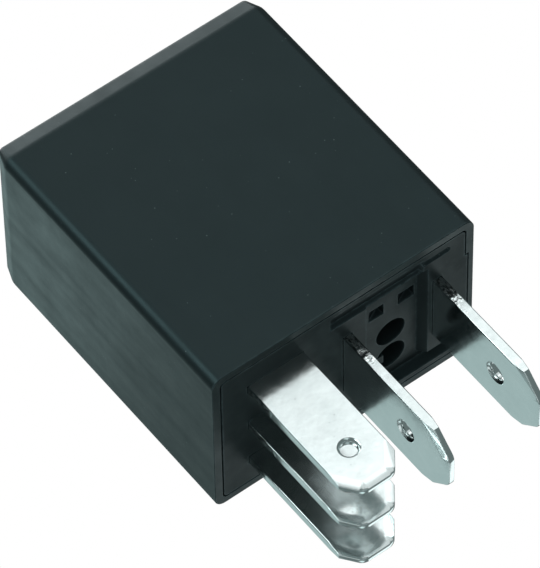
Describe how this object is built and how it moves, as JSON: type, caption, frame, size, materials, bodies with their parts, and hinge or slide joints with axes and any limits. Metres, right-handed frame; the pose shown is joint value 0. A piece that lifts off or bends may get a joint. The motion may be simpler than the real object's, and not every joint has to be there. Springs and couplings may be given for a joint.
{
  "type": "plug in relay",
  "caption": "Micro change-over plug-in relay: black box cover, moulded base, blade tabs, and a hinged armature with coil and contacts inside.",
  "frame": {"origin": "centre of the footprint, at the level of the tab tips", "axes": "+Z from the tab tips towards the cap of the cover, X along the long side of the cover, Y along its short side; the single power tab of the common contact is at +X"},
  "size_m": [0.0226, 0.015, 0.0367],
  "materials": {
    "cover_plastic": "black glass-filled polyamide, satin moulded",
    "base_plastic": "black glass-filled polyamide, matte moulded",
    "bobbin_plastic": "natural polyamide",
    "tin_plate": "tin-plated copper alloy, bright satin",
    "zinc_plate": "zinc-plated soft iron",
    "enamelled_copper": "enamelled copper wire, glossy",
    "spring_alloy": "rolled copper alloy strip",
    "contact_silver": "silver alloy, matte",
    "rivet_steel": "nickel-plated steel",
    "resistor_enamel": "blue enamel",
    "tinned_wire": "tinned wire"
  },
  "bodies": {
    "frame": {"base": "base_plastic", "terminal_30": "tin_plate", "terminal_87": "tin_plate", "terminal_87a": "tin_plate", "terminal_85": "tin_plate", "terminal_86": "tin_plate", "yoke": "zinc_plate", "core": "zinc_plate", "bobbin": "bobbin_plastic", "coil_winding": "enamelled_copper", "coil_lead_start": "enamelled_copper", "coil_lead_end": "enamelled_copper", "suppression_resistor": "resistor_enamel", "resistor_leads": "tinned_wire", "yoke_rivets": "rivet_steel", "normally_open_contact": "contact_silver", "normally_closed_contact": "contact_silver"},
    "cover_shell": {"cover": "cover_plastic"},
    "rocker": {"armature": "zinc_plate", "contact_spring": "spring_alloy", "moving_contact": "contact_silver", "armature_rivets": "rivet_steel"}
  },
  "joints": [
    {"name": "armature_hinge", "type": "hinge", "parent": "frame", "child": "rocker", "pos_m": [0.0092, 0, 0.0292], "axis": [0, -1, 0], "range_deg": [0, 3.2], "stiffness_Nm_per_rad": 0.008, "springref_deg": -28.65, "deforming": ["contact_spring"]},
    {"name": "cover_lift", "type": "slide", "parent": "frame", "child": "cover_shell", "axis": [0, 0, 1], "range_m": [0, 0.03]}
  ]
}
